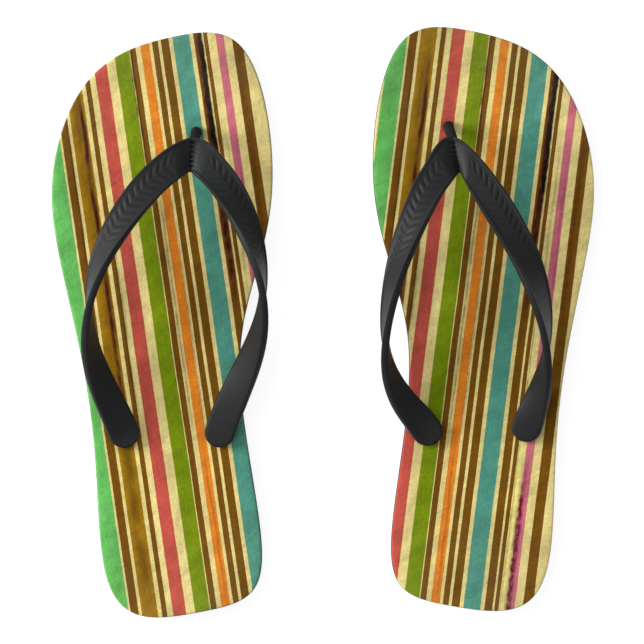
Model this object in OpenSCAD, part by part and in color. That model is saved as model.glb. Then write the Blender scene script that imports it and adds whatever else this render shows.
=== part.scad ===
// A pair of flip flops: layered soles with a printed footbed, and one-piece Y straps.
// Millimetres. +Z is up, +Y points from heel to toe, +X to the wearer's right.
// The origin is on the floor under the middle of the pair.
// Each shoe is drawn as a left shoe in its own frame, where +X is the big-toe side,
// and the right shoe is its mirror image.

/* [Sole] */
// Length of each sole from heel to toe
sole_length = 270; // [240:5:300]
// Thickness of the rubber outsole
outsole_t = 4; // [3:0.5:6]
// Thickness of the foam midsole
midsole_t = 8; // [5:0.5:14]
// Thickness of the printed footbed cover
footbed_t = 3; // [2:0.5:4]

/* [Tread] */
// Depth of the grooves across the outsole
groove_depth = 1.2; // [0.6:0.1:2]
// Width of one groove
groove_width = 2.2; // [1:0.1:3]
// Distance from one groove to the next
groove_pitch = 9; // [6:0.5:14]
// Plain border left around the grooves
tread_margin = 6; // [4:1:10]

/* [Flex line] */
// Where the flex line crosses the shoe's centreline, ahead of mid-sole
flex_y = 28; // [20:1:36]
// Slant of the flex line, further forward on the big-toe side
flex_slant = 11; // [0:1:16]
// Gap between the forefoot pieces and the rear pieces
flex_gap = 0.2; // [0.1:0.1:0.5]

/* [Strap] */
// Thickness of the strap band
band_t = 3.5; // [2.5:0.25:4]
// Height of the strap's highest stretch above the footbed
strap_rise = 31.5; // [26:0.5:38]
// Radius of the toe post
toe_stem_r = 2.5; // [2.25:0.25:4]
// Radius of the two rear stems
rear_stem_r = 3.5; // [3:0.25:4.5]
// Radial clearance of the stems in their bores
stem_clearance = 0.1; // [0.05:0.01:0.1]

/* [Plugs] */
// Radius of the plug under the toe post
toe_plug_r = 10; // [8:0.5:12]
// Radius of the plug under each rear stem
rear_plug_r = 9; // [7:0.5:10]
// Radial gap between a plug and its recess
plug_gap = 0.3; // [0.2:0.1:0.6]
// How far a plug's face sits above the ground
plug_lift = 0.5; // [0.3:0.1:1]
// Thickness of rubber under a stem's end
plug_floor = 1.2; // [1:0.1:2]

/* [Pair] */
// How far the left shoe's toe turns outwards, in degrees
left_turn = 8.25; // [0:0.25:12]
// How far the right shoe's toe turns outwards, in degrees
right_turn = 7.1; // [0:0.1:12]
// Distance between the middles of the two shoes
pair_spacing = 133; // [128:1:200]
// How far the right shoe stands ahead of the left one
right_ahead = 2.8; // [-20:0.1:20]

/* [Colours] */
// Colour of the rubber sole
sole_colour = "#26241f";
// Colour of the footbed's ground
footbed_colour = "#d9c98a";
// Colour of the straps
strap_colour = "#2b2c2e";
// Colour of the plugs
plug_colour = "#1f1f20";

/* [Hidden] */

LEFT = 0;
RIGHT = 1;
$fn = 48;

// The outline and the strap's stations are drawn for this sole length.
drawn_length = 270;
size_k = sole_length / drawn_length;
drawn_rise = 31.5;
rise_k = strap_rise / drawn_rise;

midsole_z = outsole_t;
footbed_z = outsole_t + midsole_t;
top_z = footbed_z + footbed_t;
past = 1;
far = 2 * sole_length;

// Control points of the sole's outline, a closed cubic B-spline, anticlockwise from the outer waist
OUTLINE = [
    [-48, -15], [-49, -60], [-56, -115], [-43, -136], [-10, -135], [20, -133],
    [23, -98], [21, -50], [24, -10], [38, 20], [52, 53], [55, 100],
    [46, 135], [15, 135], [-15, 131], [-38, 112], [-54, 74], [-53, 36]
];
outline_steps = 8;

// Where the toe post and the two rear stems go through the sole
toe_hole = [19.3, 88.4] * size_k;
outer_hole = [-34.2, -47] * size_k;
inner_hole = [10.4, -53.5] * size_k;

// Stations of the strap's centreline, from the outer stem round the V to the inner stem:
// x, y, height above the footbed, band width, and roll, which is 0 where the band lies
// flat with its ribbed face up, and 180 where its inner face is up.
LEFT_STRAP = [
    [-33, -51.6, 2, 5, 178], [-34.2, -47.5, 2.4, 12, 176], [-37, -37, 7, 14.6, 162],
    [-41, -22, 14.5, 15, 145], [-44.2, -5, 23, 15.3, 117], [-43, 12, 28.5, 15.3, 92],
    [-38.5, 26.5, 31, 15.3, 71], [-30.5, 41.5, 31.5, 15.3, 48], [-17.5, 57.5, 28.5, 15.3, 24],
    [-2, 70.5, 24, 15.5, 6], [9.8, 79, 21.5, 13.8, 0], [16.8, 80.6, 21.2, 13.2, 0],
    [22.6, 75.6, 21.5, 13.8, 0], [29, 62.2, 25, 15.3, 14], [35.4, 47, 29, 15.3, 33],
    [39.2, 31, 31.3, 15.3, 58], [40.5, 16, 30.5, 15.3, 80], [38.5, 0.5, 26, 15.3, 101],
    [33, -14, 18.5, 15.2, 126], [24.7, -28, 10.5, 15, 150], [16.4, -41, 5.2, 14.6, 166],
    [10, -53, 2.6, 12.5, 175], [7.4, -58.4, 2, 6, 178]
];
RIGHT_STRAP = [
    [-32.6, -52.2, 2, 5, 178], [-34.2, -47.5, 2.4, 11.5, 175], [-36.4, -38, 6.5, 14.3, 154],
    [-38.8, -26, 13.5, 15, 119], [-39.8, -13, 21, 15.3, 92], [-38, -0.5, 26.5, 15.3, 76],
    [-33.6, 13, 30.5, 15.3, 56], [-25, 30.5, 31.5, 15.3, 30], [-13.7, 47, 29.5, 15.3, 12],
    [-2.5, 62, 25.5, 15.3, 3], [5.8, 75.2, 21.8, 12.8, 0], [14, 80, 21.2, 11.8, 0],
    [20.8, 74.2, 21.8, 12.8, 0], [24, 61.2, 25.5, 15.3, 16], [29.2, 46, 29.5, 15.3, 30],
    [33.2, 31, 31.3, 15.3, 46], [35.9, 15, 31, 15.3, 62], [37, -1, 28, 15.3, 74],
    [36, -17, 21.5, 15.3, 87], [32, -31, 13.5, 15.1, 110], [24.5, -41.7, 7, 14.6, 142],
    [16.5, -48.6, 3.8, 14, 165], [10.6, -54.5, 2.5, 11, 175], [9.6, -59.3, 2, 5, 178]
];
strap_steps = 3;
station_scale = [size_k, size_k, rise_k, 1, 1];

// The bead where the toe post comes out of the footbed and leans back
elbow_r = toe_stem_r + 0.2;
// Where the toe post meets the underside of the V
LEFT_KNOT = [17, 82, 20.6];
RIGHT_KNOT = [15, 79.5, 20.6];

// ---- Curves ----

// Cubic B-spline weights at t between the two middle points of four
function spline_w(t) = [
    pow(1 - t, 3) / 6, (3 * pow(t, 3) - 6 * t * t + 4) / 6,
    (-3 * pow(t, 3) + 3 * t * t + 3 * t + 1) / 6, pow(t, 3) / 6
];
function blend4(w, a, b, c, d) = w[0] * a + w[1] * b + w[2] * c + w[3] * d;
function wrap(list, i) = list[(i + len(list)) % len(list)];
function clamp(list, i) = list[max(0, min(len(list) - 1, i))];

function closed_curve(pts, steps) = [
    for (i = [0:len(pts) - 1], j = [0:steps - 1])
        blend4(spline_w(j / steps), wrap(pts, i), wrap(pts, i + 1), wrap(pts, i + 2), wrap(pts, i + 3))
];
function open_curve(pts, steps) = [
    for (i = [0:len(pts) - 1], j = [0:(i < len(pts) - 1 ? steps - 1 : 0)])
        blend4(spline_w(j / steps), clamp(pts, i - 1), pts[i], clamp(pts, i + 1), clamp(pts, i + 2))
];
function unit(v) = v / norm(v);
function inset_curve(pts, d) = [
    for (i = [0:len(pts) - 1])
        let (along = unit(wrap(pts, i + 1) - wrap(pts, i - 1)))
            pts[i] + d * [-along[1], along[0]]
];

sole_curve = closed_curve(OUTLINE * size_k, outline_steps);

// ---- Placing the two shoes, with the pair's box centred on the origin ----

function turn(side) = side == LEFT ? left_turn : -right_turn;
function hand(side) = side == LEFT ? 1 : -1;
function middle(side) = [hand(side) * -pair_spacing / 2, (side == RIGHT ? 1 : 0) * right_ahead];
function placed(side, p) =
    let (x = hand(side) * p[0], c = cos(turn(side)), s = sin(turn(side)))
        middle(side) + [c * x - s * p[1], s * x + c * p[1]];
pair_points = [for (side = [LEFT, RIGHT], p = sole_curve) placed(side, p)];
pair_x = [for (p = pair_points) p[0]];
pair_y = [for (p = pair_points) p[1]];
pair_centre = [(min(pair_x) + max(pair_x)) / 2, (min(pair_y) + max(pair_y)) / 2];

module place(side) {
    translate(concat(middle(side) - pair_centre, 0))
        rotate([0, 0, turn(side)])
            mirror([side == RIGHT ? 1 : 0, 0, 0]) children();
}

// ---- Sole ----

// Keeps the part of a sole layer ahead of the flex line, or behind it
module half_of_sole(ahead) {
    intersection() {
        children();
        translate([0, flex_y * size_k, -past])
            rotate([0, 0, flex_slant])
                translate([-far / 2, ahead ? flex_gap / 2 : -far - flex_gap / 2, 0])
                    cube([far, far, top_z + 2 * past]);
    }
}

module hole(at, r, z, t) {
    translate([at[0], at[1], z - past]) cylinder(r = r, h = t + 2 * past);
}

module layer(z, t, ahead, toe_r, rear_r) {
    half_of_sole(ahead)
        difference() {
            translate([0, 0, z]) linear_extrude(t) polygon(sole_curve);
            if (ahead) {
                hole(toe_hole, toe_r, z, t);
            } else {
                hole(outer_hole, rear_r, z, t);
                hole(inner_hole, rear_r, z, t);
            }
        }
}

module grooves() {
    linear_extrude(2 * groove_depth, center = true)
        intersection() {
            polygon(inset_curve(sole_curve, tread_margin));
            for (y = [-floor(sole_length / 2 / groove_pitch):floor(sole_length / 2 / groove_pitch)])
                translate([-sole_length / 2, y * groove_pitch - groove_width / 2])
                    square([sole_length, groove_width]);
        }
}

module outsole(side, ahead) {
    color(sole_colour) place(side)
        difference() {
            layer(0, outsole_t, ahead, toe_plug_r + plug_gap, rear_plug_r + plug_gap);
            grooves();
        }
}

module midsole(side, ahead) {
    color(sole_colour) place(side)
        layer(midsole_z, midsole_t, ahead, toe_stem_r + stem_clearance, rear_stem_r + stem_clearance);
}

module footbed(side, ahead) {
    color(footbed_colour) place(side)
        layer(footbed_z, footbed_t, ahead, toe_stem_r + stem_clearance, rear_stem_r + stem_clearance);
}

// ---- Strap ----

function level(v) = unit([v[0], v[1], 0]);

// The band's cross-section: a flat oval with rounded edges, in width and thickness units
PROFILE = [
    [0.5, -0.2], [0.5, 0.2], [0.42, 0.5], [0, 0.5], [-0.42, 0.5],
    [-0.5, 0.2], [-0.5, -0.2], [-0.42, -0.5], [0, -0.5], [0.42, -0.5]
];

// One ring of the band. Across points to the outer edge, and rolls from level to down to inwards.
function band_ring(at, w, roll, along) =
    let (side_way = cross([0, 0, 1], level(along)),
         across = cos(roll) * side_way - [0, 0, sin(roll)],
         face = unit(cross(along, across)))
        [for (p = PROFILE) at + p[0] * w * across + p[1] * band_t * face];

function band_rings(stations) = [
    for (i = [0:len(stations) - 1])
        let (s = stations[i],
             along = clamp(stations, i + 1) - clamp(stations, i - 1))
            band_ring([s[0], s[1], s[2] + top_z], s[3], s[4], unit([along[0], along[1], along[2]]))
];

module band(stations) {
    rings = band_rings([for (s = open_curve(stations, strap_steps))
        [for (i = [0:4]) s[i] * station_scale[i]]]);
    n = len(PROFILE);
    last = len(rings) - 1;
    walls = [
        for (i = [0:last - 1], j = [0:n - 1])
            each [
                [i * n + j, (i + 1) * n + j, i * n + (j + 1) % n],
                [(i + 1) * n + j, (i + 1) * n + (j + 1) % n, i * n + (j + 1) % n]
            ]
    ];
    near_end = [for (j = [0:n - 1]) j];
    far_end = [for (j = [0:n - 1]) last * n + n - 1 - j];
    polyhedron([for (r = rings) each r], concat(walls, [near_end, far_end]));
}

module stem(at, r) {
    translate([at[0], at[1], plug_lift + plug_floor + stem_clearance])
        cylinder(r = r, h = top_z + 2.2 - plug_lift - plug_floor - stem_clearance);
}

module toe_post(knot) {
    elbow = [toe_hole[0], toe_hole[1], top_z + elbow_r + stem_clearance];
    head = [knot[0] * size_k, knot[1] * size_k, top_z + knot[2] * rise_k];
    reach = head - elbow;
    lean = acos(reach[2] / norm(reach));
    translate([toe_hole[0], toe_hole[1], plug_lift + plug_floor + stem_clearance])
        cylinder(r = toe_stem_r, h = elbow[2] - plug_lift - plug_floor - stem_clearance);
    translate(elbow) sphere(elbow_r);
    translate(elbow)
        rotate([0, lean, atan2(reach[1], reach[0])])
            cylinder(r = toe_stem_r, h = norm(reach));
}

module strap(side, stations, knot) {
    color(strap_colour) place(side)
        union() {
            band(stations);
            stem(outer_hole, rear_stem_r);
            stem(inner_hole, rear_stem_r);
            toe_post(knot);
        }
}

// ---- Plugs ----

module plug(side, at, r, stem_r) {
    color(plug_colour) place(side)
        translate([at[0], at[1], plug_lift])
            difference() {
                cylinder(r = r, h = outsole_t - plug_lift);
                translate([0, 0, plug_floor])
                    cylinder(r = stem_r + stem_clearance, h = outsole_t);
            }
}

// ---- Nodes ----

module left_forefoot_outsole() { outsole(LEFT, true); }
module left_forefoot_midsole() { midsole(LEFT, true); }
module left_forefoot_footbed() { footbed(LEFT, true); }
module left_rear_outsole() { outsole(LEFT, false); }
module left_rear_midsole() { midsole(LEFT, false); }
module left_rear_footbed() { footbed(LEFT, false); }
module left_strap() { strap(LEFT, LEFT_STRAP, LEFT_KNOT); }
module left_toe_plug() { plug(LEFT, toe_hole, toe_plug_r, toe_stem_r); }
module left_outer_plug() { plug(LEFT, outer_hole, rear_plug_r, rear_stem_r); }
module left_inner_plug() { plug(LEFT, inner_hole, rear_plug_r, rear_stem_r); }
module right_forefoot_outsole() { outsole(RIGHT, true); }
module right_forefoot_midsole() { midsole(RIGHT, true); }
module right_forefoot_footbed() { footbed(RIGHT, true); }
module right_rear_outsole() { outsole(RIGHT, false); }
module right_rear_midsole() { midsole(RIGHT, false); }
module right_rear_footbed() { footbed(RIGHT, false); }
module right_strap() { strap(RIGHT, RIGHT_STRAP, RIGHT_KNOT); }
module right_toe_plug() { plug(RIGHT, toe_hole, toe_plug_r, toe_stem_r); }
module right_outer_plug() { plug(RIGHT, outer_hole, rear_plug_r, rear_stem_r); }
module right_inner_plug() { plug(RIGHT, inner_hole, rear_plug_r, rear_stem_r); }

left_forefoot_outsole();
left_forefoot_midsole();
left_forefoot_footbed();
left_rear_outsole();
left_rear_midsole();
left_rear_footbed();
left_strap();
left_toe_plug();
left_outer_plug();
left_inner_plug();
right_forefoot_outsole();
right_forefoot_midsole();
right_forefoot_footbed();
right_rear_outsole();
right_rear_midsole();
right_rear_footbed();
right_strap();
right_toe_plug();
right_outer_plug();
right_inner_plug();
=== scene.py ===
"""Looks for a pair of flip flops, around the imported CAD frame.

Every shoe is drawn in its own frame in millimetres, as in the CAD: +Y to the toe, +X to the
big-toe side of a left shoe, Z up from the floor. The right shoe is the mirror image.
"""
import math

import bmesh
import bpy
import numpy as np
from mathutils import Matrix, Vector, geometry


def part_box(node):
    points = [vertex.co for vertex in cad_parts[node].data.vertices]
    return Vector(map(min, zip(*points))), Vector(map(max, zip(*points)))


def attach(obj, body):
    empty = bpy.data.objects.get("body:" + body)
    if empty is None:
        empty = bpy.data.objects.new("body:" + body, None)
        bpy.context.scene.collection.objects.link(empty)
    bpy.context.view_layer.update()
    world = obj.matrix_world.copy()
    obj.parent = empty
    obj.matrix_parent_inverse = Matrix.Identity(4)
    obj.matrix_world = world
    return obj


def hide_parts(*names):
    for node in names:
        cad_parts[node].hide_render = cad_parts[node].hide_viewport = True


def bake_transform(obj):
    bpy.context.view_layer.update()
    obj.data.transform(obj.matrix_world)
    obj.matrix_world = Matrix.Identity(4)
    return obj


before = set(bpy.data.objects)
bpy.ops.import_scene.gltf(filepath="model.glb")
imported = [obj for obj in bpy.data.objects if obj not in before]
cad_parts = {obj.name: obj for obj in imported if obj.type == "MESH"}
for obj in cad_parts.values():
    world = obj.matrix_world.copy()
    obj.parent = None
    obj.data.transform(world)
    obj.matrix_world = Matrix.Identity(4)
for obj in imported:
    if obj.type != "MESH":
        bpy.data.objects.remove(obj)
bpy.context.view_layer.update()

MM = 0.001
SIDES = ("left", "right")

# ---- The two shoes' places, as in the CAD ----

TURN = {"left": 8.25, "right": -7.1}
HAND = {"left": 1, "right": -1}
PAIR_SPACING = 133
RIGHT_AHEAD = 2.8

# Control points of the sole's outline, a closed cubic B-spline
OUTLINE = np.array([
    [-48, -15], [-49, -60], [-56, -115], [-43, -136], [-10, -135], [20, -133],
    [23, -98], [21, -50], [24, -10], [38, 20], [52, 53], [55, 100],
    [46, 135], [15, 135], [-15, 131], [-38, 112], [-54, 74], [-53, 36],
], float)
OUTLINE_STEPS = 40
OUTLINE_POINTS = 300

# SOLE_BEND gives the sole's reach each side of the flex line, and STRAP_BEND the strap's, from and to;
# bend_with_sole takes them but only bakes each piece's transform.
SOLE_BEND = 36
STRAP_BEND = (-58, 42)

TOE_HOLE = np.array([19.3, 88.4])
OUTER_HOLE = np.array([-34.2, -47])
INNER_HOLE = np.array([10.4, -53.5])
TOE_POST_R = 2.5
REAR_STEM_R = 3.5
TUBE_SIDES = 24


def top_of(node):
    """The height of a CAD node's top, in millimetres."""
    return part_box(node)[1].z / MM


OUTSOLE_TOP = top_of("left_rear_outsole")
MIDSOLE_TOP = top_of("left_rear_midsole")
TOP = top_of("left_rear_footbed")

# Stations of each arm of the strap, from its rear tip to the V:
# x, y, height above the footbed, width, and roll (0 flat, 90 on edge, 180 turned over).
# The crotch and the front are where the V's seam meets the band's two edges.
ARMS = {
    "left": {
        "outer": [
            [-32.7, -53.4, 2.2, 14, 178], [-34.4, -46.5, 2.8, 14.6, 176], [-37, -37, 7, 15, 162],
            [-41.4, -22, 14.5, 15.2, 145], [-44.4, -5, 23, 15.3, 117], [-42.6, 12, 28.5, 15.3, 92],
            [-38, 26.5, 31, 15.3, 71], [-30, 41.2, 31.5, 15.3, 48],
            [-16.9, 57, 28.5, 15.3, 24], [-2, 70.6, 25, 15.6, 8],
        ],
        "crotch": [14.1, 70.2, 22.4],
        "front": [17.3, 85.8, 21.6],
        "inner": [
            [24.8, 69.4, 23.4, 15.4, 6],
            [30, 61, 25.6, 15.3, 15], [35.6, 47, 29, 15.3, 33],
            [39.2, 31, 31.3, 15.3, 58], [40.6, 16, 30.5, 15.3, 80], [38.5, 0.5, 26, 15.3, 101],
            [33, -14, 18.5, 15.2, 126], [24.7, -28, 10.5, 15, 150], [16.4, -41, 5.2, 14.8, 166],
            [10.2, -52, 3, 14.6, 175], [7.2, -59.2, 2.2, 14, 178],
        ],
        "knot": [17, 82, 20.2],
    },
    "right": {
        "outer": [
            [-33.3, -54, 2.2, 14, 178], [-34.6, -47, 2.8, 14.4, 175], [-36.6, -38, 6.5, 14.6, 154],
            [-38.9, -26, 13.5, 15, 122], [-39.4, -13, 21, 15.3, 94], [-37.6, -0.5, 26.5, 15.3, 76],
            [-33.4, 13, 30.5, 15.3, 56], [-25, 30.5, 31.5, 15.3, 30],
            [-13.2, 46.6, 29.5, 15.3, 12], [-1.6, 61.2, 26, 15.3, 5],
        ],
        "crotch": [11.8, 67.4, 22.6],
        "front": [16.6, 83.6, 21.6],
        "inner": [
            [21.4, 65.8, 24, 15.3, 8],
            [24.8, 60, 26, 15.3, 16], [29.4, 46, 29.5, 15.3, 30], [33.4, 31, 31.3, 15.3, 46],
            [36.2, 15, 31, 15.3, 62], [37.4, -1, 28, 15.3, 74], [36.6, -17, 21.5, 15.3, 90],
            [32.4, -31, 13.5, 15.1, 114], [24.7, -42, 7, 14.8, 145], [16.4, -49.6, 3.8, 14.8, 166],
            [10.4, -55.6, 2.8, 14.6, 175], [6.4, -59.6, 2.2, 14, 178],
        ],
        "knot": [15.5, 79.5, 20.2],
    },
}


def spline_weights(u):
    """Six times the weights of a cubic B-spline's four control points, at u from 0 to 1."""
    return [(1 - u) ** 3, 3 * u ** 3 - 6 * u ** 2 + 4, -3 * u ** 3 + 3 * u ** 2 + 3 * u + 1, u ** 3]


def spline_at(points, t):
    """A cubic B-spline through the first and last of points, at parameters t counted in points."""
    pts = np.array(points, float)
    pts = np.vstack([2 * pts[0] - pts[1], pts, 2 * pts[-1] - pts[-2], 3 * pts[-1] - 2 * pts[-2]])
    t = np.asarray(t, float)
    i = np.clip(np.floor(t).astype(int), 0, len(pts) - 4)
    w = spline_weights((t - i)[:, None])
    return sum(w[k] * pts[i + k] for k in range(4)) / 6


def closed_spline(points, steps):
    """A closed cubic B-spline, with so many points to each control point."""
    n = len(points)
    w = spline_weights(np.linspace(0, 1, steps, endpoint=False)[:, None])
    out = []
    for i in range(n):
        out.append(sum(w[k] * points[(i + k) % n] for k in range(4)) / 6)
    return np.vstack(out)


def evenly(loop, count):
    """A closed loop resampled to evenly spaced points."""
    closed = np.vstack([loop, loop[:1]])
    run = np.concatenate([[0], np.cumsum(np.linalg.norm(np.diff(closed, axis=0), axis=1))])
    at = np.linspace(0, run[-1], count, endpoint=False)
    return np.column_stack([np.interp(at, run, closed[:, k]) for k in range(2)])


def inset(loop, d):
    """A closed anticlockwise loop moved inwards by d."""
    along = np.roll(loop, -1, axis=0) - np.roll(loop, 1, axis=0)
    along /= np.linalg.norm(along, axis=1)[:, None]
    return loop + d * np.column_stack([-along[:, 1], along[:, 0]])


SOLE = evenly(closed_spline(OUTLINE, OUTLINE_STEPS), OUTLINE_POINTS)


def turned(side, xy):
    """Own-frame points turned into the row's directions, about the shoe's middle."""
    a = math.radians(TURN[side])
    x, y = HAND[side] * xy[:, 0], xy[:, 1]
    return np.column_stack([math.cos(a) * x - math.sin(a) * y, math.sin(a) * x + math.cos(a) * y])


MIDDLE = {
    "left": np.array([-PAIR_SPACING / 2, 0]),
    "right": np.array([PAIR_SPACING / 2, RIGHT_AHEAD]),
}
PAIR = np.vstack([turned(s, SOLE) + MIDDLE[s] for s in SIDES])
PAIR_CENTRE = (PAIR.min(0) + PAIR.max(0)) / 2


def to_row(side, own):
    """Own-frame millimetres to the row frame in metres."""
    own = np.asarray(own, float).reshape(-1, 3)
    xy = turned(side, own[:, :2]) + MIDDLE[side] - PAIR_CENTRE
    return np.column_stack([xy, own[:, 2]]) * MM


# ---- Mesh building ----

def new_piece(name, side, points, faces, material, smooth_angle=35):
    """A mesh piece from own-frame points, with the print's coordinates kept as an attribute."""
    points = np.asarray(points, float)
    if HAND[side] < 0:
        faces = [tuple(reversed(f)) for f in faces]
    mesh = bpy.data.meshes.new(name)
    mesh.from_pydata(to_row(side, points).tolist(), [], [tuple(int(i) for i in f) for f in faces])
    mesh.validate()
    printed = points * [HAND[side], 1, 1]
    kept = mesh.attributes.new("own", "FLOAT_VECTOR", "POINT")
    kept.data.foreach_set("vector", printed.astype(np.float32).ravel())
    mesh.polygons.foreach_set("use_smooth", [True] * len(mesh.polygons))
    mesh.set_sharp_from_angle(angle=math.radians(smooth_angle))
    mesh.materials.append(material)
    piece = bpy.data.objects.new(name, mesh)
    bpy.context.scene.collection.objects.link(piece)
    return piece


def bend_with_sole(piece, side, behind, ahead):
    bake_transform(piece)


def circle(at, r, count):
    a = np.linspace(0, 2 * math.pi, count, endpoint=False)
    return np.column_stack([at[0] + r * np.cos(a), at[1] + r * np.sin(a)])


def inside(loop, xy):
    """Which of xy lie inside a closed loop."""
    x, y = xy[:, 0][:, None], xy[:, 1][:, None]
    x0, y0 = loop[:, 0], loop[:, 1]
    x1, y1 = np.roll(x0, -1), np.roll(y0, -1)
    crosses = (y0 > y) != (y1 > y)
    with np.errstate(divide="ignore", invalid="ignore"):
        hit = crosses & (x < (x1 - x0) * (y - y0) / (y1 - y0) + x0)
    return hit.sum(1) % 2 == 1


def near_loop(loop, xy, d):
    """Which of xy come within d of a loop's points."""
    gap = np.linalg.norm(xy[:, None, :] - loop[None, :, :], axis=2).min(1)
    return gap < d


ROW_SHARE = 0.866
LOOP_CLEAR = 0.6
EXTRA_CLEAR = 0.5
SAME_POINT = 1e-6


def flat_sheet(outer, step, loops=(), extra=None):
    """Triangles that fill an outer loop: an even grid, with the inner loops kept as edges.
    The outer loop's points come first, in order."""
    xs = np.arange(outer[:, 0].min(), outer[:, 0].max(), step)
    ys = np.arange(outer[:, 1].min(), outer[:, 1].max(), step * ROW_SHARE)
    grid = np.array([(x + (step / 2 if j % 2 else 0), y) for j, y in enumerate(ys) for x in xs])
    grid = grid[inside(outer, grid)]
    grid = grid[~near_loop(outer, grid, LOOP_CLEAR * step)]
    for loop in loops:
        grid = grid[~near_loop(loop, grid, LOOP_CLEAR * step)]
    if extra is not None:
        grid = grid[~near_loop(extra, grid, EXTRA_CLEAR * step)]
        grid = np.vstack([grid, extra])
    points = [outer, *loops, grid]
    sizes = np.cumsum([0] + [len(p) for p in points])
    xy = np.vstack(points)
    rings = [list(range(sizes[k], sizes[k + 1])) for k in range(1 + len(loops))]
    edges = [(r[i], r[(i + 1) % len(r)]) for r in rings for i in range(len(r))]
    verts, _, faces, *_ = geometry.delaunay_2d_cdt([Vector(p) for p in xy], edges, [], 0, SAME_POINT)
    verts = np.array([(v.x, v.y) for v in verts])
    middles = np.array([verts[list(f)].mean(0) for f in faces])
    keep = inside(outer, middles)
    return verts, [f for f, k in zip(faces, keep) if k]


def slab(outline_rings, bottom_sheet, top_sheet):
    """A closed solid: a bottom sheet, rings up the side, and a top sheet.
    outline_rings are (loop, z) from the bottom face's edge to the top face's edge."""
    n = len(outline_rings[0][0])
    points, faces = [], []
    for loop, z in outline_rings:
        points += [(x, y, z) for x, y in loop]
    for k in range(len(outline_rings) - 1):
        for i in range(n):
            j = (i + 1) % n
            faces.append((k * n + i, k * n + j, (k + 1) * n + j, (k + 1) * n + i))
    sheets = ((bottom_sheet, 0, False), (top_sheet, len(outline_rings) - 1, True))
    for (verts, tris, heights), ring, up in sheets:
        start = len(points)
        index = [ring * n + i for i in range(n)] + list(range(start, start + len(verts) - n))
        points += [(x, y, z) for (x, y), z in zip(verts[n:], heights[n:])]
        for f in tris:
            a, b, c = (index[i] for i in f)
            faces.append((a, b, c) if up else (c, b, a))
    return np.array(points), faces


CORNER_STEPS = 4
WALL_STEPS = 4


def rim_rings(z0, z1, low_r, high_r, bulge=0.0):
    """Rings from the bottom edge to the top edge of a layer, with rounded corners."""
    rings = []
    for k in range(CORNER_STEPS + 1):
        a = math.pi / 2 * k / CORNER_STEPS
        rings.append((low_r * (1 - math.sin(a)), z0 + low_r * (1 - math.cos(a))))
    for k in range(1, WALL_STEPS):
        u = k / WALL_STEPS
        rings.append((-bulge * math.sin(math.pi * u), z0 + low_r + u * (z1 - high_r - z0 - low_r)))
    for k in range(CORNER_STEPS + 1):
        a = math.pi / 2 * k / CORNER_STEPS
        rings.append((high_r * (1 - math.cos(a)), z1 - high_r * (1 - math.sin(a))))
    return [(inset(SOLE, d), z) for d, z in rings]


# ---- Materials ----

def node_material(name):
    material = bpy.data.materials.new(name)
    material.use_nodes = True
    tree = material.node_tree
    shader = tree.nodes["Principled BSDF"]
    return material, tree, shader


class Net:
    """Short ways to add nodes and join them."""

    def __init__(self, tree):
        self.tree = tree

    def add(self, kind, inputs=(), **settings):
        n = self.tree.nodes.new(kind)
        for key, value in settings.items():
            setattr(n, key, value)
        for key, value in dict(inputs).items():
            if isinstance(value, bpy.types.NodeSocket):
                self.tree.links.new(value, n.inputs[key])
            else:
                n.inputs[key].default_value = value
        return n

    def math(self, op, a, b=0.0, c=0.0):
        return self.add("ShaderNodeMath", {0: a, 1: b, 2: c}, operation=op).outputs[0]

    def noise(self, vector, scale, detail=3.0, roughness=0.5, distortion=0.0):
        return self.add("ShaderNodeTexNoise", {
            "Vector": vector, "Scale": scale, "Detail": detail,
            "Roughness": roughness, "Distortion": distortion}).outputs["Fac"]

    def ramp(self, value, low, high, to_low=0.0, to_high=1.0):
        return self.add("ShaderNodeMapRange", {
            0: value, 1: low, 2: high, 3: to_low, 4: to_high}).outputs[0]

    def mix(self, share, a, b, how="MIX"):
        n = self.add("ShaderNodeMix", data_type="RGBA", blend_type=how)
        for key, value in ((0, share), (6, a), (7, b)):
            if isinstance(value, bpy.types.NodeSocket):
                self.tree.links.new(value, n.inputs[key])
            else:
                n.inputs[key].default_value = value
        return n.outputs[2]

    def scaled(self, vector, scale):
        return self.add("ShaderNodeVectorMath", {0: vector, 1: scale}, operation="MULTIPLY").outputs[0]

    def moved(self, vector, by):
        return self.add("ShaderNodeVectorMath", {0: vector, 1: by}, operation="ADD").outputs[0]

    def bump(self, height, distance, strength):
        inputs = {"Height": height, "Distance": distance, "Strength": strength}
        return self.add("ShaderNodeBump", inputs).outputs[0]

    def to(self, output, socket):
        self.tree.links.new(output, socket)


def linear(r, g, b):
    """A screen colour from 0 to 255, as a linear colour."""
    def one(v):
        v /= 255
        return v / 12.92 if v <= 0.04045 else ((v + 0.055) / 1.055) ** 2.4
    return (one(r), one(g), one(b), 1.0)


CREAM = linear(232, 213, 140)
BROWN = linear(118, 78, 10)
GREEN = linear(102, 182, 92)
GOLD = linear(160, 118, 14)
RED = linear(194, 84, 70)
OLIVE = linear(122, 144, 10)
ORANGE = linear(226, 132, 38)
TEAL = linear(84, 154, 134)
PINK = linear(206, 112, 126)

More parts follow.
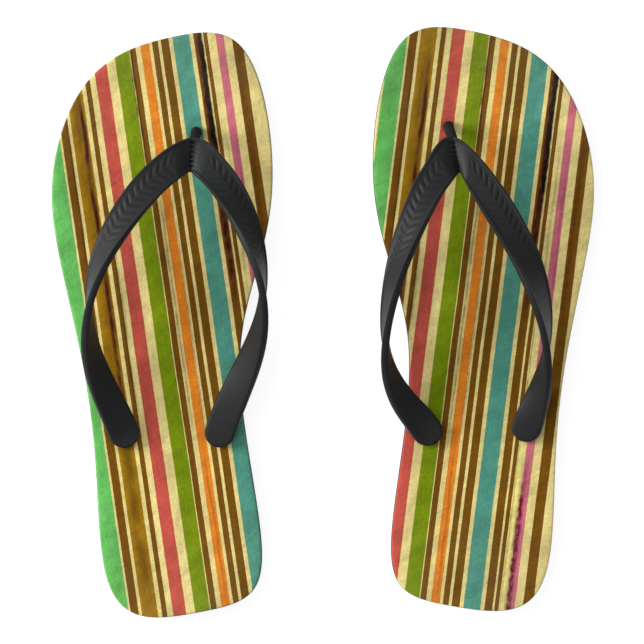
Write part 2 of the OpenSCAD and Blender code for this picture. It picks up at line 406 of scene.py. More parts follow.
# Where each printed stripe starts, in millimetres from the shoe's middle line, left to right
STRIPES = [
    (-60, CREAM), (-53.2, GREEN), (-44.7, CREAM), (-43.7, BROWN), (-40.2, CREAM), (-38.7, GOLD),
    (-31, CREAM), (-29.5, BROWN), (-26.8, CREAM), (-24, RED), (-18, CREAM), (-14, OLIVE),
    (-7, CREAM), (-6.2, BROWN), (-3.3, CREAM), (-1, ORANGE), (3, CREAM), (4.5, BROWN),
    (7.3, CREAM), (8.8, BROWN), (12.3, CREAM), (14.3, TEAL), (22.3, CREAM), (24.2, BROWN),
    (28, CREAM), (28.8, BROWN), (30.8, CREAM), (34.5, PINK), (38.2, CREAM), (42, BROWN),
    (46.5, CREAM),
]
PRINT_WIDTH = 120
PRINT_SHIFT = {"left": 0.0, "right": 1.0}

DARK_RED = linear(74, 22, 14)
INK = linear(14, 9, 8)
UMBER = linear(92, 62, 12)
STRAW = linear(240, 228, 118)
CRIMSON = linear(104, 16, 40)
DUST = linear(160, 156, 124)
FOAM_EDGE = linear(34, 31, 27)
WANDER_MM = 0.35
FRAY_MM = 0.16
LINE_FADE = 25
CLOUD_RANGE = (0.74, 1.16)
WRINKLE_SLANT = -32
DUST_SHARE = 0.09
FABRIC_EDGE = (0.62, 0.42)
WEAVE_MM = 0.62
FABRIC_BUMP_MM = 0.22

# Lengthwise dark lines and washes: middle, half width, wander, colour, strength, y from, y to
PRINT_LINES = [
    (-34.5, 3.4, 1.6, UMBER, 0.65, -140, 140),
    (-32.9, 1.4, 0.8, DARK_RED, 1.2, -45, 125),
    (-31.8, 0.8, 0.9, INK, 0.6, -20, 90),
    (-26.8, 1.2, 0.5, INK, 0.5, -50, 60),
    (-40.4, 1.0, 0.8, INK, 0.45, 10, 120),
    (-6.0, 1.1, 0.5, DARK_RED, 0.75, 55, 145),
    (-5.6, 0.5, 0.4, INK, 0.6, 70, 145),
    (-2.2, 0.9, 0.7, UMBER, 0.6, -60, 70),
    (3.4, 0.8, 0.6, UMBER, 0.5, -60, 60),
    (26.6, 2.1, 0.4, DARK_RED, 1.3, 0, 150),
    (27.4, 1.5, 0.4, INK, 1.8, 45, 150),
    (33.0, 0.8, 0.9, DARK_RED, 0.4, 0, 90),
    (31.6, 0.6, 0.5, UMBER, 0.6, -140, 20),
    (32.6, 1.6, 0.5, STRAW, 0.75, -140, -20),
    (35.3, 2.1, 0.3, CRIMSON, 1.2, -165, -60),
    (37.6, 0.9, 0.9, DARK_RED, 0.35, -40, 90),
    (43.8, 1.8, 0.7, DARK_RED, 0.5, -10, 130),
    (1.6, 0.8, 0.9, DARK_RED, 0.45, -140, -50),
]

# Darker patches: x, y, radius across, radius along, strength. The first three, beside and under the
# strap's arms, are painted strap shade; the rest are the print's own smudges
STRAP_SHADE_AND_SMUDGES = [
    (-4, 33, 12, 26, 0.42), (-23, 14, 12, 28, 0.4), (-1, 53, 10, 20, 0.34),
    (-20, -20, 14, 22, 0.1), (30, 100, 14, 34, 0.12), (48, -20, 12, 40, 0.25),
    (-45, 120, 34, 60, 0.22), (0, 150, 70, 46, 0.2), (-40, 60, 12, 40, 0.16),
]


def printed_fabric(side):
    """Striped fabric, printed as old paper: the stripes run along the shoe."""
    material, tree, shader = node_material(f"{side}_printed_fabric")
    net = Net(tree)
    own = net.add("ShaderNodeAttribute", attribute_name="own").outputs["Vector"]
    shifted = net.moved(own, (-PRINT_SHIFT[side], 0, 0))
    x, y, z = net.add("ShaderNodeSeparateXYZ", {0: shifted}).outputs
    wander = net.ramp(net.noise(net.scaled(shifted, (0, 0.02, 0)), 1.0, 2.0),
                      0, 1, -WANDER_MM, WANDER_MM)
    fray = net.ramp(net.noise(net.scaled(shifted, (0.4, 1.6, 1)), 1.0, 2.0), 0, 1, -FRAY_MM, FRAY_MM)
    across = net.math("ADD", net.math("ADD", x, wander), fray)
    share = net.math("DIVIDE", net.math("ADD", across, PRINT_WIDTH / 2), PRINT_WIDTH)
    ramp = net.add("ShaderNodeValToRGB", {0: share})
    ramp.color_ramp.interpolation = "CONSTANT"
    stops = ramp.color_ramp.elements
    while len(stops) < len(STRIPES):
        stops.new(0.5)
    for k, (start, colour) in enumerate(STRIPES):
        stops[k].position = (start + PRINT_WIDTH / 2) / PRINT_WIDTH
        stops[k].color = colour
    colour = ramp.outputs[0]

    # The dark lines and washes, each swaying on its own and fading at its ends
    for k, (middle, half, drift, tint, strength, y0, y1) in enumerate(PRINT_LINES):
        own_stretch = net.moved(net.scaled(shifted, (0, 0.035, 0)), (k * 7.3, 0, 0))
        sway = net.ramp(net.noise(own_stretch, 1.0, 3.0), 0.2, 0.8, -drift, drift)
        off = net.math("ABSOLUTE", net.math("SUBTRACT", net.math("ADD", x, sway), middle))
        core = net.ramp(off, 0.25 * half, half, 1, 0)
        ends = net.math("MULTIPLY", net.ramp(y, y0, y0 + LINE_FADE), net.ramp(y, y1, y1 - LINE_FADE))
        patchy = net.ramp(net.noise(net.scaled(shifted, (0.15, 0.06, 0)), 1.0 + 0.3 * k, 4.0),
                          0.35, 0.6, 0.35, 1)
        amount = net.math("MULTIPLY", net.math("MULTIPLY", core, ends), patchy)
        colour = net.mix(net.math("MULTIPLY", amount, strength), colour, tint)

    # Cloudy light and dark, and the darker patches: painted shade of the strap and the print's own
    # smudges
    light = net.ramp(net.noise(net.scaled(shifted, (0.05, 0.03, 0)), 1.0, 6.0, 0.62, 0.6),
                     0.3, 0.72, *CLOUD_RANGE)
    # Painted shade of the strap in the first three patches, the print's smudges in the rest
    for sx, sy, rx, ry, strength in STRAP_SHADE_AND_SMUDGES:
        from_middle = net.scaled(net.moved(shifted, (-sx, -sy, 0)), (1 / rx, 1 / ry, 0))
        d = net.add("ShaderNodeVectorMath", {0: from_middle}, operation="LENGTH").outputs["Value"]
        light = net.math("MULTIPLY", light, net.ramp(d, 0, 1, 1 - strength, 1))

    # Soft slanting wrinkles, blots, wandering lengthwise veins and a fine grain
    slanted = net.add("ShaderNodeVectorRotate", {"Vector": shifted, "Angle": math.radians(WRINKLE_SLANT)},
                      rotation_type="Z_AXIS").outputs[0]
    wrinkle = net.noise(net.scaled(slanted, (0.05, 0.17, 0)), 1.0, 3.0, 0.5, 0.9)
    light = net.math("MULTIPLY", light, net.ramp(wrinkle, 0.3, 0.7, 0.88, 1.1))
    blots = net.noise(net.scaled(shifted, (0.3, 0.22, 0)), 1.0, 2.0, 0.5, 0.4)
    light = net.math("MULTIPLY", light, net.ramp(blots, 0.3, 0.7, 0.92, 1.06))
    veins = net.noise(net.scaled(shifted, (0.9, 0.035, 0)), 1.0, 4.0, 0.65)
    light = net.math("MULTIPLY", light, net.ramp(veins, 0.3, 0.7, 0.93, 1.05))
    grain = net.noise(net.scaled(shifted, (1.1, 0.75, 1)), 1.0, 4.0, 0.65)
    light = net.math("MULTIPLY", light, net.ramp(grain, 0.3, 0.7, 0.84, 1.13))
    grey = net.add("ShaderNodeCombineColor", {0: light, 1: light, 2: light}).outputs[0]
    colour = net.mix(1.0, colour, grey, "MULTIPLY")

    # The print is dustier towards the toe and the heel
    ends = net.math("MAXIMUM", net.ramp(y, 70, 135), net.ramp(y, -85, -135))
    patches = net.noise(net.scaled(shifted, (0.03, 0.03, 0)), 1.3, 3.0)
    dusty = net.math("MULTIPLY", ends, net.ramp(patches, 0.3, 0.7, 0.0, DUST_SHARE))
    colour = net.mix(dusty, colour, DUST)

    # Black foam under the fabric, seen on the cut edge
    edge = net.ramp(z, TOP - FABRIC_EDGE[0], TOP - FABRIC_EDGE[1])
    colour = net.mix(edge, FOAM_EDGE, colour)
    net.to(colour, shader.inputs["Base Color"])

    # A fine weave, pebbled and wrinkled
    warp, weft = (net.math("SINE", net.math("MULTIPLY", way, 2 * math.pi / WEAVE_MM)) for way in (x, y))
    weave = net.math("MULTIPLY", warp, weft)
    pebble = net.add("ShaderNodeTexVoronoi", {"Vector": net.scaled(shifted, (0.75, 0.55, 1)),
                                              "Scale": 1.0}, feature="SMOOTH_F1").outputs["Distance"]
    height = net.math("ADD", net.math("ADD", net.math("MULTIPLY", weave, 0.2), grain),
                      net.math("MULTIPLY", pebble, 0.5))
    height = net.math("ADD", height, net.math("MULTIPLY", wrinkle, 1.5))
    net.to(net.bump(height, FABRIC_BUMP_MM * MM, 0.75), shader.inputs["Normal"])
    shader.inputs["Roughness"].default_value = 0.84
    shader.inputs["Specular IOR Level"].default_value = 0.1
    return material


WEAR_SCALE = 0.03


def rubber(name, dark, pale, roughness, grain_mm, bump_mm, shine=0.3):
    """Black rubber with a fine moulded grain and faint cloudy wear."""
    material, tree, shader = node_material(name)
    net = Net(tree)
    own = net.add("ShaderNodeAttribute", attribute_name="own").outputs["Vector"]
    cloud = net.noise(net.scaled(own, (WEAR_SCALE,) * 3), 1.0, 5.0, 0.6)
    grain = net.noise(net.scaled(own, (1 / grain_mm,) * 3), 1.0, 3.0, 0.55)
    net.to(net.mix(net.ramp(cloud, 0.3, 0.7), dark, pale), shader.inputs["Base Color"])
    net.to(net.ramp(net.math("ADD", cloud, grain), 0.7, 1.3, roughness - 0.07, roughness + 0.08),
           shader.inputs["Roughness"])
    net.to(net.bump(grain, bump_mm * MM, 0.6), shader.inputs["Normal"])
    shader.inputs["Specular IOR Level"].default_value = shine
    return material


STRAP_RUBBER = rubber("strap_rubber", linear(25, 26, 27), linear(31, 32, 33), 0.5, 0.5, 0.03,
                      shine=0.2)
POST_RUBBER = rubber("strap_post_rubber", linear(25, 26, 27), linear(31, 32, 33), 0.75, 0.5, 0.03,
                     shine=0.12)
OUTSOLE_RUBBER = rubber("outsole_rubber", linear(34, 32, 29), linear(48, 45, 41), 0.72, 0.7, 0.08)
MIDSOLE_FOAM = rubber("midsole_foam", linear(38, 36, 33), linear(50, 47, 43), 0.8, 0.9, 0.12)
PLUG_RUBBER = rubber("plug_rubber", linear(28, 28, 29), linear(40, 40, 41), 0.6, 0.6, 0.05)


# ---- Soles ----

DIMPLE_R = 3.15
DIMPLE_DEPTH = 0.9
DIMPLE_RINGS = ((3.4, 24), (4.4, 28), (5.6, 32), (7.2, 36))
POST_OVERLAP = 0.25
FOOTBED_STEP = 3.0
SHEET_STEP = 4.5
OUTSOLE_STEP = 4.0
RECESS_ROOF = 0.1


def dimple(xy):
    """How far the footbed is drawn down around the toe post."""
    d = np.linalg.norm(xy - TOE_HOLE, axis=1)
    return DIMPLE_DEPTH * np.exp(-((d / DIMPLE_R) ** 2))


def footbed(side):
    rings = rim_rings(MIDSOLE_TOP, TOP, 0.25, 0.8)
    around = np.vstack([circle(TOE_HOLE, r, count) for r, count in DIMPLE_RINGS])
    post = circle(TOE_HOLE, TOE_POST_R - POST_OVERLAP, TUBE_SIDES)
    top, top_faces = flat_sheet(rings[-1][0], FOOTBED_STEP, [post], around)
    bottom, bottom_faces = flat_sheet(rings[0][0], SHEET_STEP)
    heights = TOP - dimple(top)
    points, faces = slab(rings, (bottom, bottom_faces, np.full(len(bottom), MIDSOLE_TOP)),
                         (top, top_faces, heights))
    piece = new_piece(f"{side}_footbed", side, points, faces, printed_fabric(side))
    bend_with_sole(piece, side, -SOLE_BEND, SOLE_BEND)
    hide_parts(f"{side}_forefoot_footbed", f"{side}_rear_footbed")


def midsole(side):
    rings = rim_rings(OUTSOLE_TOP, MIDSOLE_TOP, 0.35, 0.35, 0.25)
    top, top_faces = flat_sheet(rings[-1][0], SHEET_STEP)
    bottom, bottom_faces = flat_sheet(rings[0][0], SHEET_STEP)
    points, faces = slab(rings, (bottom, bottom_faces, np.full(len(bottom), OUTSOLE_TOP)),
                         (top, top_faces, np.full(len(top), MIDSOLE_TOP)))
    piece = new_piece(f"{side}_midsole", side, points, faces, MIDSOLE_FOAM)
    bend_with_sole(piece, side, -SOLE_BEND, SOLE_BEND)
    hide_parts(f"{side}_forefoot_midsole", f"{side}_rear_midsole")


GROOVE_PITCH = 9
GROOVE_WIDTH = 2.2
GROOVE_DEPTH = 1.2
GROOVE_WAVE = 1.5
GROOVE_WAVELENGTH = 16
GROOVE_SHORTEST = 6
HOLE_MARGIN = 3
TREAD_MARGIN = 6
RECESS_GAP = 0.3
TOE_PLUG_R = 10
REAR_PLUG_R = 9


def groove_loops():
    """Wavy grooves across the outsole, each a closed loop, clear of the margin and the recesses."""
    border = inset(SOLE, TREAD_MARGIN)
    holes = [(TOE_HOLE, TOE_PLUG_R), (OUTER_HOLE, REAR_PLUG_R), (INNER_HOLE, REAR_PLUG_R)]
    loops = []
    reach = int(SOLE[:, 1].max() // GROOVE_PITCH)
    for k in range(-reach, reach + 1):
        xs = np.arange(SOLE[:, 0].min(), SOLE[:, 0].max(), 1.0)
        mid = k * GROOVE_PITCH + GROOVE_WAVE * np.sin(2 * math.pi * xs / GROOVE_WAVELENGTH)
        ok = inside(border, np.column_stack([xs, mid + GROOVE_WIDTH / 2]))
        ok &= inside(border, np.column_stack([xs, mid - GROOVE_WIDTH / 2]))
        for at, r in holes:
            ok &= np.hypot(xs - at[0], mid - at[1]) > r + RECESS_GAP + HOLE_MARGIN
        run = []
        for i, good in enumerate(list(ok) + [False]):
            if good:
                run.append(i)
                continue
            if len(run) > GROOVE_SHORTEST:
                x, m = xs[run], mid[run]
                low = np.column_stack([x, m - GROOVE_WIDTH / 2])
                high = np.column_stack([x, m + GROOVE_WIDTH / 2])[::-1]
                loops.append(np.vstack([low, high]))
            run = []
    return loops


def outsole(side):
    rings = rim_rings(0, OUTSOLE_TOP, 0.9, 0.35)
    grooves = groove_loops()
    recesses = [circle(TOE_HOLE, TOE_PLUG_R + RECESS_GAP, 64),
                circle(OUTER_HOLE, REAR_PLUG_R + RECESS_GAP, 60),
                circle(INNER_HOLE, REAR_PLUG_R + RECESS_GAP, 60)]
    top, top_faces = flat_sheet(rings[-1][0], SHEET_STEP)
    bottom, bottom_faces = flat_sheet(rings[0][0], OUTSOLE_STEP, grooves + recesses)
    points, faces = slab(rings, (bottom, bottom_faces, np.zeros(len(bottom))),
                         (top, top_faces, np.full(len(top), OUTSOLE_TOP)))
    points, faces = carve(points, faces, grooves, GROOVE_DEPTH)
    points, faces = carve(points, faces, recesses, OUTSOLE_TOP - RECESS_ROOF)
    piece = new_piece(f"{side}_outsole", side, points, faces, OUTSOLE_RUBBER, 30)
    bend_with_sole(piece, side, -SOLE_BEND, SOLE_BEND)
    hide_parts(f"{side}_forefoot_outsole", f"{side}_rear_outsole")


def carve(points, faces, loops, depth):
    """Raises the flat bottom faces inside each loop by depth, with walls around them."""
    flat = [i for i, f in enumerate(faces) if all(abs(points[v][2]) < 1e-9 for v in f)]
    middles = np.array([np.mean([points[v][:2] for v in faces[i]], axis=0) for i in flat])
    chosen = set()
    for loop in loops:
        chosen |= {flat[i] for i in np.nonzero(inside(loop, middles))[0]}
    moved, extra, count = {}, [], len(points)
    edges = {}
    for i in chosen:
        f = faces[i]
        for a, b in zip(f, f[1:] + f[:1]):
            edges[(a, b)] = edges.get((a, b), 0) + 1
        for v in f:
            if v not in moved:
                moved[v] = count + len(extra)
                extra.append((points[v][0], points[v][1], depth))
    walls = [(a, b, moved[b], moved[a]) for a, b in edges if (b, a) not in edges]
    out = [tuple(moved[v] for v in f) if i in chosen else f for i, f in enumerate(faces)]
    return np.vstack([points, extra]), out + walls


# ---- Straps ----

RIM_W = 1.9
HALF_T = 1.75
TIP_R = 7.2
EDGE_SAMPLES = 4000
SMOOTHED_RINGS = 11


def edges_of(station):
    """The inner-corner side and the outer side of the band at a station, given its direction."""
    x, y, z, w, roll, dx, dy = station
    side_way = np.array([-dy, dx, 0]) / math.hypot(dx, dy)
    across = math.cos(math.radians(roll)) * side_way - np.array([0, 0, math.sin(math.radians(roll))])
    middle = np.array([x, y, z + TOP])
    return middle - across * w / 2, middle + across * w / 2


def passing_through(target, before, after):
    """The B-spline control point that makes the curve pass through target."""
    return (6 * target - before - after) / 4


def ring_places(seam_run, whole):
    """Places along the band: close together at the seam and the tips, wider where it is plain."""
    at, spots = 0.0, [0.0]
    while at < whole:
        from_seam = abs(at - seam_run)
        from_tip = min(at, whole - at)
        step = 0.3 if from_seam < SEAM_REACH + 2 else 0.55 if from_seam < CHEVRON_TO + 2 else 1.2
        at += min(step, 0.12 + 0.25 * from_tip)
        spots.append(at)
    spots = np.array(spots[:-1])
    return np.unique(np.append(spots[np.abs(spots - seam_run) > 0.1], [seam_run, whole]))


def strap_edges(side):
    """The two edge curves of the band, as matching rings from the outer tip to the inner tip."""
    arm = ARMS[side]
    crotch = np.array(arm["crotch"]) + [0, 0, TOP]
    front = np.array(arm["front"]) + [0, 0, TOP]
    centre = (crotch + front) / 2
    route = [s[:2] for s in arm["outer"]] + [list(centre[:2])] + [s[:2] for s in arm["inner"]]
    seam = len(arm["outer"])
    crotch_side, front_side = [], []
    for i, s in enumerate(arm["outer"] + [None] + arm["inner"]):
        if s is None:
            crotch_side.append(crotch)
            front_side.append(front)
            continue
        d = np.array(route[min(i + 1, len(route) - 1)]) - np.array(route[max(i - 1, 0)])
        a, b = edges_of([*s, *d])
        crotch_side.append(a)
        front_side.append(b)
    front_side[seam] = passing_through(front, front_side[seam - 1], front_side[seam + 1])
    t = np.linspace(0, len(route) - 1, EDGE_SAMPLES)
    b = spline_at(front_side, t)
    a = np.vstack([spline_at(crotch_side[:seam + 1], t[t <= seam]),
                   spline_at(crotch_side[seam:], t[t > seam] - seam)])
    middle = (a + b) / 2
    run = np.concatenate([[0], np.cumsum(np.linalg.norm(np.diff(middle, axis=0), axis=1))])
    seam_run = np.interp(seam, t, run)
    at = ring_places(seam_run, run[-1])
    a = np.column_stack([np.interp(at, run, a[:, k]) for k in range(3)])
    b = np.column_stack([np.interp(at, run, b[:, k]) for k in range(3)])
    from_tip = np.minimum(at, run[-1] - at)
    rounded = np.sqrt(1 - (1 - np.clip(from_tip / TIP_R, 0.002, 1)) ** 2)[:, None]
    middle = (a + b) / 2
    return middle + (a - middle) * rounded, middle + (b - middle) * rounded, at - seam_run


def band_profile(w):
    """The band's section at width w: place across, height, and whether it is on the outer face."""
    edge = w / 2
    rim = min(RIM_W, 0.3 * w)
    face = np.linspace(-1, 1, 27) * (edge - rim)
    outer_face = [(x, HALF_T - 0.45, True) for x in face]
    left = [(-edge + 0.75 * rim, HALF_T - 0.1, False), (-edge + 0.5 * rim, HALF_T, False),
            (-edge + 0.25 * rim, HALF_T - 0.12, False), (-edge + 0.08, 0.75, False),
            (-edge, 0, False), (-edge + 0.08, -0.75, False), (-edge + 0.3 * rim, -HALF_T + 0.1, False)]
    inner_face = [(x, -HALF_T - 0.12 * (1 - (x / edge) ** 2), False)
                  for x in np.linspace(-1, 1, 9) * (edge - 0.6 * rim)]
    right = [(-x, z, flag) for x, z, flag in reversed(left)]
    return outer_face[::-1] + left + inner_face + right


CHEVRON_PITCH = 4.0
CHEVRON_DEPTH = 0.36
CHEVRON_SLOPE = 0.7
CHEVRON_FROM = 7.5
CHEVRON_TO = 68
CHEVRON_MIDDLE = 0.5
CHEVRON_EDGES = (-4.6, 4.9)
LOWER_ROW = 0.5


def ease(t):
    t = min(1.0, max(0.0, t))
    return t * t * (3 - 2 * t)


def herringbone(s, x):
    """How deep the moulded strokes are, at s millimetres from the V and x across the band."""
    far = abs(s)
    if not CHEVRON_FROM - 2 < far < CHEVRON_TO:
        return 0.0
    off = x - CHEVRON_MIDDLE
    phase = ((far + CHEVRON_SLOPE * abs(off)) / CHEVRON_PITCH) % 1
    stroke = ease((0.24 - abs(phase - 0.5)) / 0.12)
    rows = ease((abs(off) - 0.15) / 0.5)
    rows *= ease((x - CHEVRON_EDGES[0]) / 0.6) * ease((CHEVRON_EDGES[1] - x) / 0.6)
    fade = ease((far - CHEVRON_FROM) / 3) * ease((CHEVRON_TO - far) / 16)
    row = LOWER_ROW if off < 0 else 1.0
    return CHEVRON_DEPTH * stroke * rows * fade * row


SEAM_PITCH = 2.2
SEAM_REACH = 3.6
SEAM_DIP = 2.2
SEAM_SPREAD = 9.0
SEAM_TOOTH = 0.85


def seam_dip(s, x):
    """How far the V is drawn down along its seam, and by the row of teeth cut beside it."""
    d = abs(s) / SEAM_SPREAD
    valley = SEAM_DIP * max(0.0, 1 - d) ** 1.4
    teeth = ease((0.34 - abs((x - 0.35 * s) / SEAM_PITCH % 1 - 0.5)) / 0.24)
    reach = ease((s + 0.5) / 0.6) * ease((SEAM_REACH - s) / SEAM_REACH)
    return valley + SEAM_TOOTH * teeth * reach


def strap_band(side):
    a, b, from_seam = strap_edges(side)
    count = len(a)
    seam = int(np.argmin(np.abs(from_seam)))
    middle = (a + b) / 2
    along = np.gradient(middle, from_seam, axis=0)
    along[seam] = along[seam - 2] + along[seam + 2]
    along /= np.linalg.norm(along, axis=1)[:, None]
    width = np.linalg.norm(b - a, axis=1)
    across = (b - a) / width[:, None]
    face = np.cross(along, across)
    face /= np.linalg.norm(face, axis=1)[:, None]
    window = np.hanning(SMOOTHED_RINGS + 2)
    smooth = window[1:-1] / window.sum()
    face = np.column_stack([np.convolve(np.pad(face[:, k], SMOOTHED_RINGS // 2, mode="edge"),
                                        smooth, "valid") for k in range(3)])
    face /= np.linalg.norm(face, axis=1)[:, None]
    rings = []
    for i in range(count):
        w, s = width[i], from_seam[i]
        thin = min(1.0, (w / TIP_R) ** 0.8)
        ring = []
        for x, z, detailed in band_profile(w):
            z *= thin
            if detailed:
                z -= herringbone(s, x)
            if abs(s) < SEAM_REACH + SEAM_SPREAD:
                z -= seam_dip(s, x)
            ring.append(middle[i] + across[i] * x + face[i] * z)
        rings.append(ring)
    n = len(rings[0])
    points = np.array(rings).reshape(-1, 3)
    faces = [(i * n + j, i * n + (j + 1) % n, (i + 1) * n + (j + 1) % n, (i + 1) * n + j)
             for i in range(count - 1) for j in range(n)]
    faces.append(tuple(reversed(range(n))))
    faces.append(tuple((count - 1) * n + j for j in range(n)))
    return points, faces


def tube(path, radii):
    """A closed round tube along a path."""
    path = np.asarray(path, float)
    along = np.gradient(path, axis=0)
    along /= np.linalg.norm(along, axis=1)[:, None]
    u = np.cross(along, [1.0, 0, 0])
    u /= np.linalg.norm(u, axis=1)[:, None]
    v = np.cross(along, u)
    around = TUBE_SIDES
    points = []
    for p, r, uu, vv in zip(path, radii, u, v):
        for k in range(around):
            t = 2 * math.pi * k / around
            points.append(p + r * (math.cos(t) * uu + math.sin(t) * vv))
    faces = [(i * around + j, i * around + (j + 1) % around,
              (i + 1) * around + (j + 1) % around, (i + 1) * around + j)
             for i in range(len(path) - 1) for j in range(around)]
    faces.append(tuple(reversed(range(around))))
    faces.append(tuple((len(path) - 1) * around + j for j in range(around)))
    return np.array(points), faces


KNOT_SINK = 1.4
POST_ROOT = 2.5
POST_KNEE = 3.2
POST_STEPS = 40
STEM_HEIGHTS = (-2.5, -1, 0.3, 1.45)


def toe_post(side):
    """The post from below the footbed's face up into the V, thicker at both ends."""
    knot = np.array(ARMS[side]["knot"]) + [0, 0, TOP - KNOT_SINK]
    foot = np.array([*TOE_HOLE, TOP - POST_ROOT])
    knee = np.array([*TOE_HOLE, TOP + POST_KNEE])
    stations = [foot, (foot + knee) / 2, knee, knee + 0.35 * (knot - knee),
                knee + 0.7 * (knot - knee), knot]
    t = np.linspace(0, len(stations) - 1, POST_STEPS)
    path = spline_at(stations, t)
    rise = (path[:, 2] - TOP) / (knot[2] - TOP)
    foot_flare = np.clip((0.25 - rise) / 0.25, 0, 1)
    top_flare = np.clip((rise - 0.7) / 0.3, 0, 1) ** 2
    radii = TOE_POST_R * (0.97 + 0.05 * foot_flare + 0.3 * top_flare)
    return tube(path, radii)


def rear_stem(hole):
    path = [[hole[0], hole[1], TOP + z] for z in STEM_HEIGHTS]
    return tube(path, [REAR_STEM_R] * len(path))


SLIVER_MM = 0.01


def joined(parts):
    """One closed solid from closed solids that overlap: points, faces and each face's material."""
    solids = []
    for points, faces, material_index in parts:
        mesh = bpy.data.meshes.new("part")
        mesh.from_pydata(np.asarray(points).tolist(), [], faces)
        mesh.materials.append(STRAP_RUBBER)
        mesh.materials.append(POST_RUBBER)
        mesh.polygons.foreach_set("material_index", [material_index] * len(mesh.polygons))
        solids.append(bpy.data.objects.new("part", mesh))
        bpy.context.scene.collection.objects.link(solids[-1])
    for other in solids[1:]:
        union = solids[0].modifiers.new("union", "BOOLEAN")
        union.operation = "UNION"
        union.solver = "EXACT"
        union.material_mode = "INDEX"
        union.object = other
    graph = bpy.context.evaluated_depsgraph_get()
    whole = bmesh.new()
    whole.from_object(solids[0], graph)
    bmesh.ops.remove_doubles(whole, verts=whole.verts, dist=SLIVER_MM)
    bmesh.ops.dissolve_degenerate(whole, edges=whole.edges, dist=SLIVER_MM)
    bmesh.ops.triangulate(whole, faces=[f for f in whole.faces if len(f.verts) > 4])
    whole.verts.index_update()
    points = [tuple(v.co) for v in whole.verts]
    faces = [tuple(v.index for v in f.verts) for f in whole.faces]
    material_of = [f.material_index for f in whole.faces]
    whole.free()
    for solid in solids:
        mesh = solid.data
        bpy.data.objects.remove(solid)
        bpy.data.meshes.remove(mesh)
    return points, faces, material_of


def strap(side):
    points, faces, material_of = joined([
        (*strap_band(side), 0), (*toe_post(side), 1),
        (*rear_stem(OUTER_HOLE), 1), (*rear_stem(INNER_HOLE), 1)])
    piece = new_piece(f"{side}_strap_y", side, points, faces, STRAP_RUBBER, 50)
    piece.data.materials.append(POST_RUBBER)
    piece.data.polygons.foreach_set("material_index", material_of)
    bend_with_sole(piece, side, *STRAP_BEND)
    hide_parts(f"{side}_strap")


# ---- Plugs ----

PLUG_LIFT = 0.5
PLUG_TOP_GAP = 0.15
PLUG_SIDES = 64


def plug(side, which, at, r, body):
    """A round plug with a rolled edge and one moulded ring, seen from below."""
    top = OUTSOLE_TOP - PLUG_TOP_GAP
    profile = [
        (0, PLUG_LIFT + 0.5), (0.18, PLUG_LIFT + 0.5), (0.3, PLUG_LIFT + 0.42), (0.34, PLUG_LIFT),
        (0.42, PLUG_LIFT - 0.02), (0.5, PLUG_LIFT), (0.54, PLUG_LIFT + 0.35), (0.62, PLUG_LIFT + 0.42),
        (0.7, PLUG_LIFT + 0.35), (0.74, PLUG_LIFT), (0.88, PLUG_LIFT), (0.96, PLUG_LIFT + 0.2),
        (1, PLUG_LIFT + 0.7), (1, top - 0.4), (0.97, top), (0, top),
    ]
    around = PLUG_SIDES
    points, rings = [], []
    for share, z in profile:
        if share == 0:
            rings.append([len(points)])
            points.append((at[0], at[1], z))
            continue
        rings.append(list(range(len(points), len(points) + around)))
        points += [(*p, z) for p in circle(at, share * r, around)]
    faces = []
    for low, high in zip(rings, rings[1:]):
        for j in range(around):
            k = (j + 1) % around
            if len(low) == 1:
                faces.append((low[0], high[k], high[j]))
            elif len(high) == 1:
                faces.append((low[j], low[k], high[0]))
            else:
                faces.append((low[j], low[k], high[k], high[j]))
    piece = new_piece(f"{side}_{which}_plug_disc", side, points, faces, PLUG_RUBBER, 40)
    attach(piece, body)
    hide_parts(f"{side}_{which}_plug")


for side in SIDES:
    footbed(side)
    midsole(side)
    outsole(side)
    strap(side)
    plug(side, "toe", TOE_HOLE, TOE_PLUG_R, f"{side}_forefoot")
    plug(side, "outer", OUTER_HOLE, REAR_PLUG_R, f"{side}_rear")
    plug(side, "inner", INNER_HOLE, REAR_PLUG_R, f"{side}_rear")


# ---- Stage, light and camera ----

FLOOR_Z = -0.1 * MM
FLOOR_REACH = 3.0
FLOOR_GLOW = 0.84


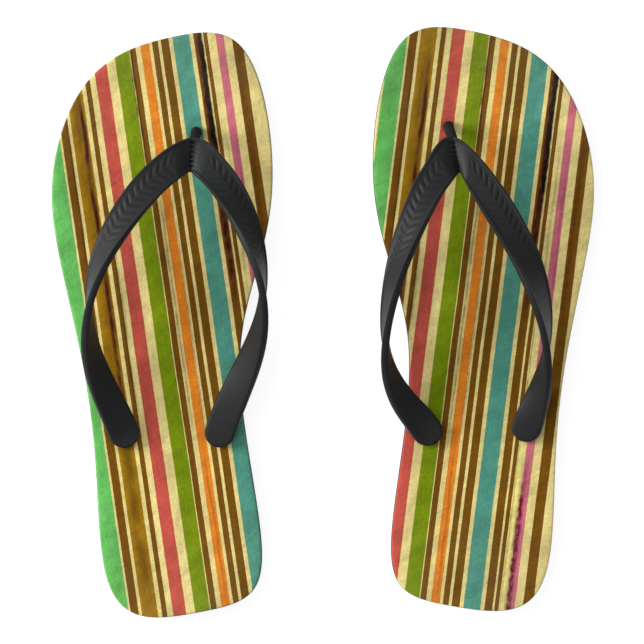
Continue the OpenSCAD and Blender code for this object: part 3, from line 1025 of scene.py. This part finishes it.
def floor():
    mesh = bpy.data.meshes.new("floor")
    r = FLOOR_REACH
    mesh.from_pydata([(-r, -r, FLOOR_Z), (r, -r, FLOOR_Z), (r, r, FLOOR_Z), (-r, r, FLOOR_Z)], [],
                     [(0, 1, 2, 3)])
    material, _, shader = node_material("floor_paper")
    shader.inputs["Base Color"].default_value = (0.35, 0.35, 0.35, 1)
    shader.inputs["Emission Color"].default_value = (1, 1, 1, 1)
    shader.inputs["Emission Strength"].default_value = FLOOR_GLOW
    shader.inputs["Roughness"].default_value = 0.9
    shader.inputs["Specular IOR Level"].default_value = 0.1
    mesh.materials.append(material)
    plane = bpy.data.objects.new("floor", mesh)
    bpy.context.scene.collection.objects.link(plane)


def area_light(name, at, size, power):
    """A round lamp that faces the middle of the pair."""
    lamp = bpy.data.lights.new(name, "AREA")
    lamp.shape = "DISK"
    lamp.size = size
    lamp.energy = power
    thing = bpy.data.objects.new(name, lamp)
    thing.location = at
    thing.rotation_euler = Vector(at).to_track_quat("Z", "Y").to_euler()
    bpy.context.scene.collection.objects.link(thing)


def world_light(strength):
    world = bpy.data.worlds.new("studio")
    world.use_nodes = True
    world.node_tree.nodes["Background"].inputs["Color"].default_value = (1, 1, 1, 1)
    world.node_tree.nodes["Background"].inputs["Strength"].default_value = strength
    bpy.context.scene.world = world


LENS_MM = 500
SENSOR_MM = 36
VIEW_WIDTH = 302.4 * MM
VIEW_CENTRE = (-0.44 * MM, 0.1 * MM)
FARTHEST = 50


def camera():
    """A long lens straight above the pair."""
    distance = VIEW_WIDTH * LENS_MM / SENSOR_MM
    data = bpy.data.cameras.new("camera")
    data.lens = LENS_MM
    data.sensor_width = SENSOR_MM
    data.clip_end = FARTHEST
    eye = bpy.data.objects.new("camera", data)
    eye.location = (*VIEW_CENTRE, TOP * MM + distance)
    bpy.context.scene.collection.objects.link(eye)
    bpy.context.scene.camera = eye


floor()
area_light("side_strip", (-1.6, 0.35, 0.75), 1.0, 40)
area_light("top_box", (-0.4, 0.3, 2.2), 1.8, 12)
world_light(0.41)
camera()
bpy.context.scene.view_settings.view_transform = "Standard"
